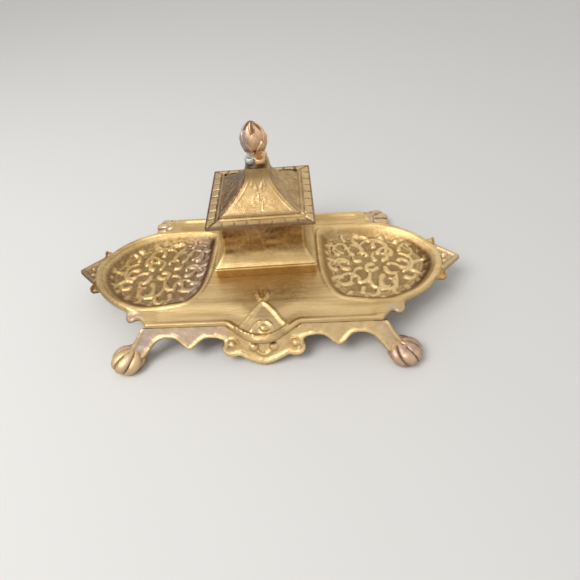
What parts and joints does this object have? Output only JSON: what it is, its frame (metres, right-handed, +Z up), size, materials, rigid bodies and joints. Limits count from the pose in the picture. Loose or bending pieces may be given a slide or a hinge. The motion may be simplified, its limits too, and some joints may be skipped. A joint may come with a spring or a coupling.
{
  "type": "desk inkstand",
  "caption": "Footed brass inkstand: a pointed plate with sunk trays and pen rests, and a square ink case with a hinged pagoda lid and a bud finial.",
  "frame": {"origin": "on the table, under the middle of the plate", "axes": "+X along the stand's length to the right, +Y to the rear (the lid's hinge side), +Z up"},
  "size_m": [0.254, 0.1442, 0.1098],
  "materials": {
    "cast_brass": "cast, hand rubbed, aged gold with brown in the hollows",
    "apron_brass": "cast, pale and slightly pink where it is worn",
    "foot_brass": "cast, worn to a coppery brown",
    "box_brass": "cast, darker on the shaded walls",
    "bud_brass": "cast, handled to a coppery pink",
    "fixing_brass": "turned, dull",
    "porcelain": "white glaze, opaque"
  },
  "bodies": {
    "stand": {"tray_plate": "cast_brass", "front_apron": "apron_brass", "rear_apron": "apron_brass", "front_left_foot": "foot_brass", "front_right_foot": "foot_brass", "rear_left_foot": "foot_brass", "rear_right_foot": "foot_brass", "foot_screws": "fixing_brass", "apron_screws": "fixing_brass", "ink_case": "box_brass", "case_screws": "fixing_brass", "hinge_pin": "fixing_brass"},
    "lid": {"lid": "cast_brass", "finial_neck": "cast_brass", "finial_bud": "bud_brass", "finial_stud": "fixing_brass", "finial_washer": "fixing_brass", "finial_nut": "fixing_brass"},
    "ink_pot": {"ink_pot": "porcelain"}
  },
  "joints": [
    {"name": "lid_hinge", "type": "hinge", "parent": "stand", "child": "lid", "pos_m": [-0.00088, 0.04729, 0.0582], "axis": [-0.9995, -0.0314, 0], "range_deg": [0, 105]},
    {"name": "pot_lift", "type": "slide", "parent": "stand", "child": "ink_pot", "axis": [0, 0, 1], "range_m": [0, 0.004]}
  ]
}
